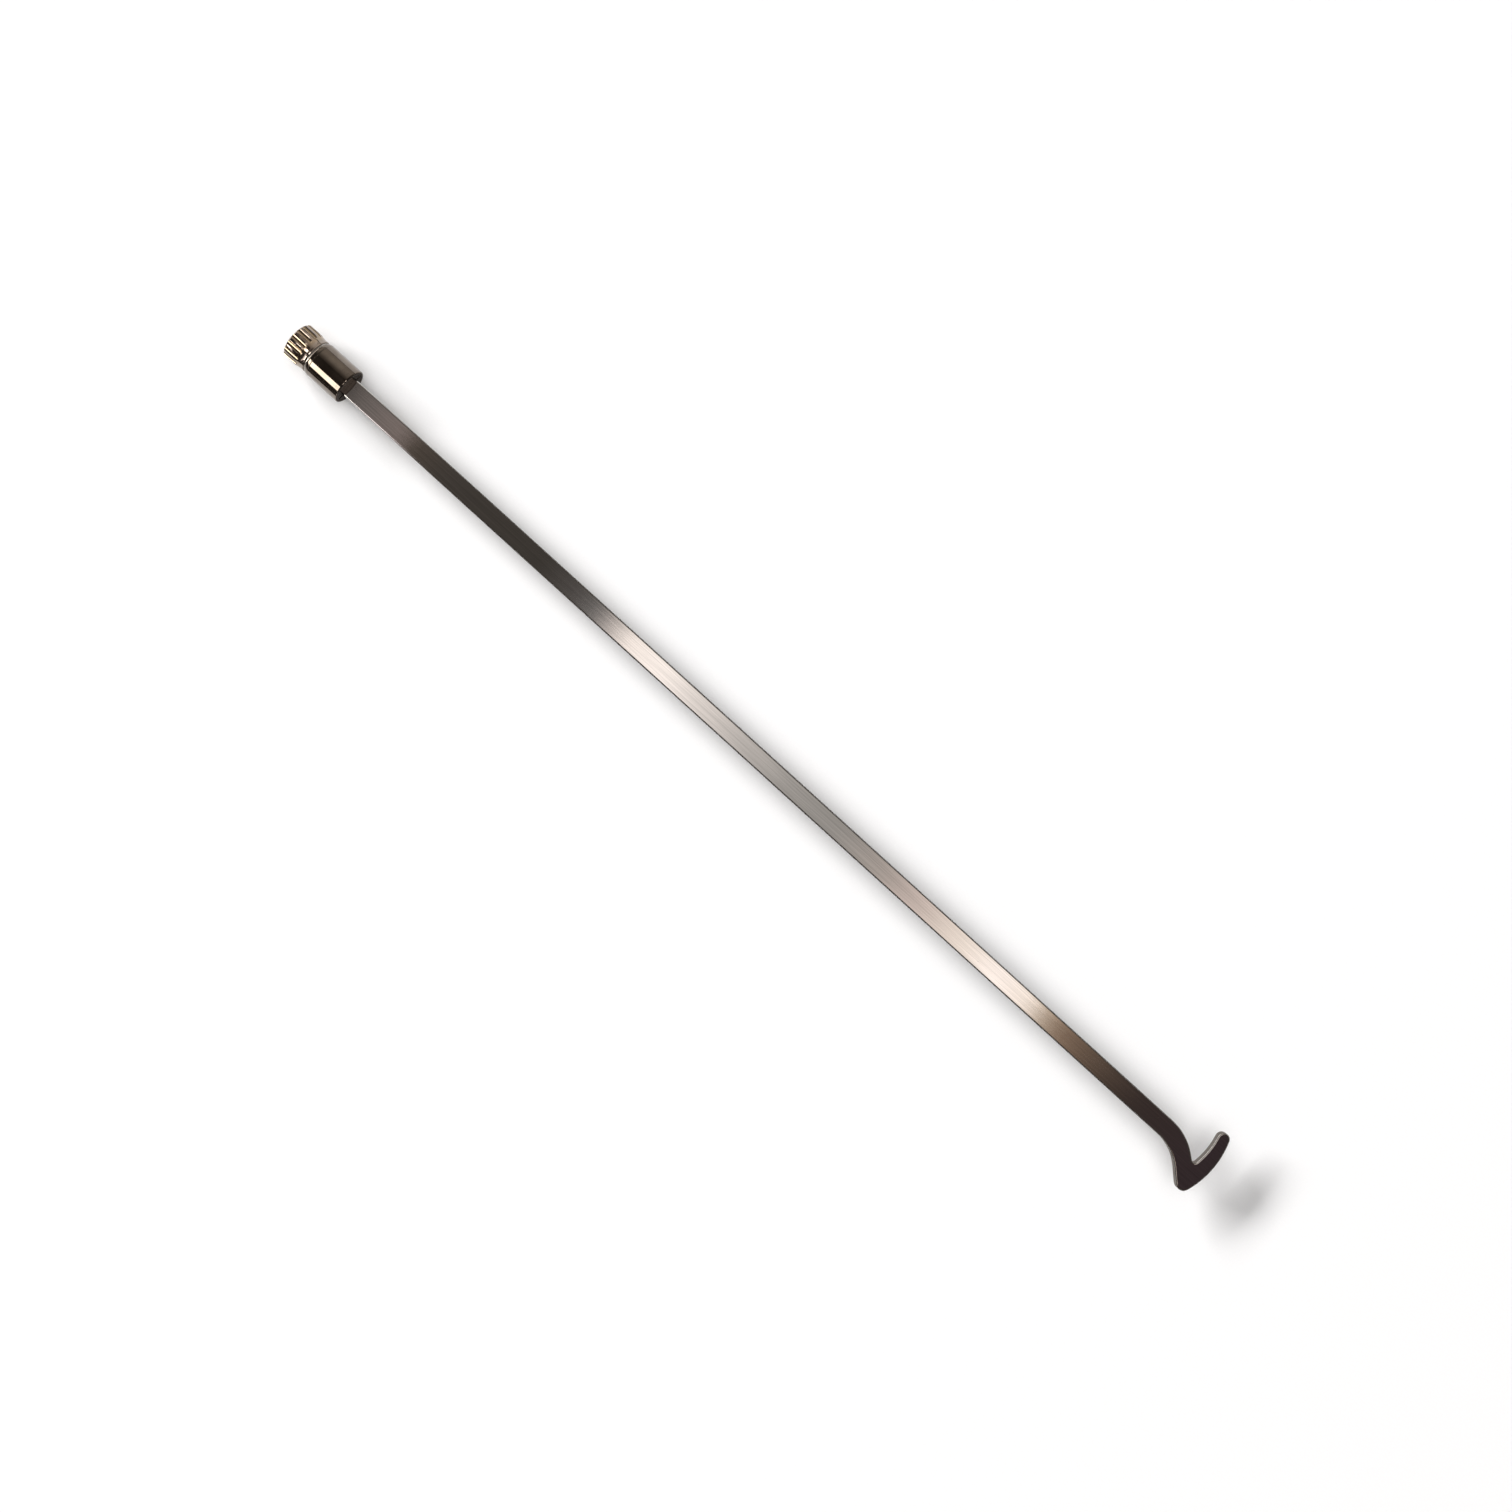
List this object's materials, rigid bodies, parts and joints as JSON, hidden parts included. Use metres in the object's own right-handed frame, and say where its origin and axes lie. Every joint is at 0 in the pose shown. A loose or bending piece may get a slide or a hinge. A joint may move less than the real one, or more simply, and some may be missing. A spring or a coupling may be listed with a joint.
{
  "type": "inoculating hook",
  "caption": "Long flat steel blade with a bend and crescent foot at one end and a small turned chuck with a fluted knob at the other.",
  "frame": {"origin": "middle of the collar's barrel, on the axis that blade, collar and knob share", "axes": "+X along the blade towards its foot, +Z square to the blade's flat face, +Y towards the rounded tip of the foot"},
  "size_m": [0.2443, 0.0145, 0.0078],
  "materials": {
    "polished_steel": "ground lengthwise and polished nearly to a mirror",
    "black_nickel": "bright black-nickel plate on turned brass",
    "black_nickel_knob": "bright black-nickel plate, thinner and browner in the flutes",
    "collet_brass": "turned, nickel flashed",
    "washer_steel": "turned",
    "spring_steel": "drawn wire, oiled",
    "pin_steel": "ground"
  },
  "bodies": {
    "collar": {"chuck_collar": "black_nickel", "key_pin": "pin_steel", "thrust_washer": "washer_steel", "retaining_ring": "spring_steel"},
    "knob": {"clamp_knob": "black_nickel_knob"},
    "collet": {"draw_collet": "collet_brass"},
    "blade": {"hook_blade": "polished_steel"}
  },
  "joints": [
    {"name": "knob_turn", "type": "hinge", "parent": "collar", "child": "knob", "pos_m": [-0.0072, 0, 0], "axis": [1, 0, 0], "range_deg": [0, 720]},
    {"name": "collet_draw", "type": "slide", "parent": "collar", "child": "collet", "axis": [1, 0, 0], "range_m": [0, 0.001]},
    {"name": "blade_pull", "type": "slide", "parent": "collet", "child": "blade", "axis": [1, 0, 0], "range_m": [0, 0.0044]}
  ],
  "couplings": [
    {"joint": "knob_turn", "follows": "collet_draw", "rad_per_m": 12566}
  ]
}
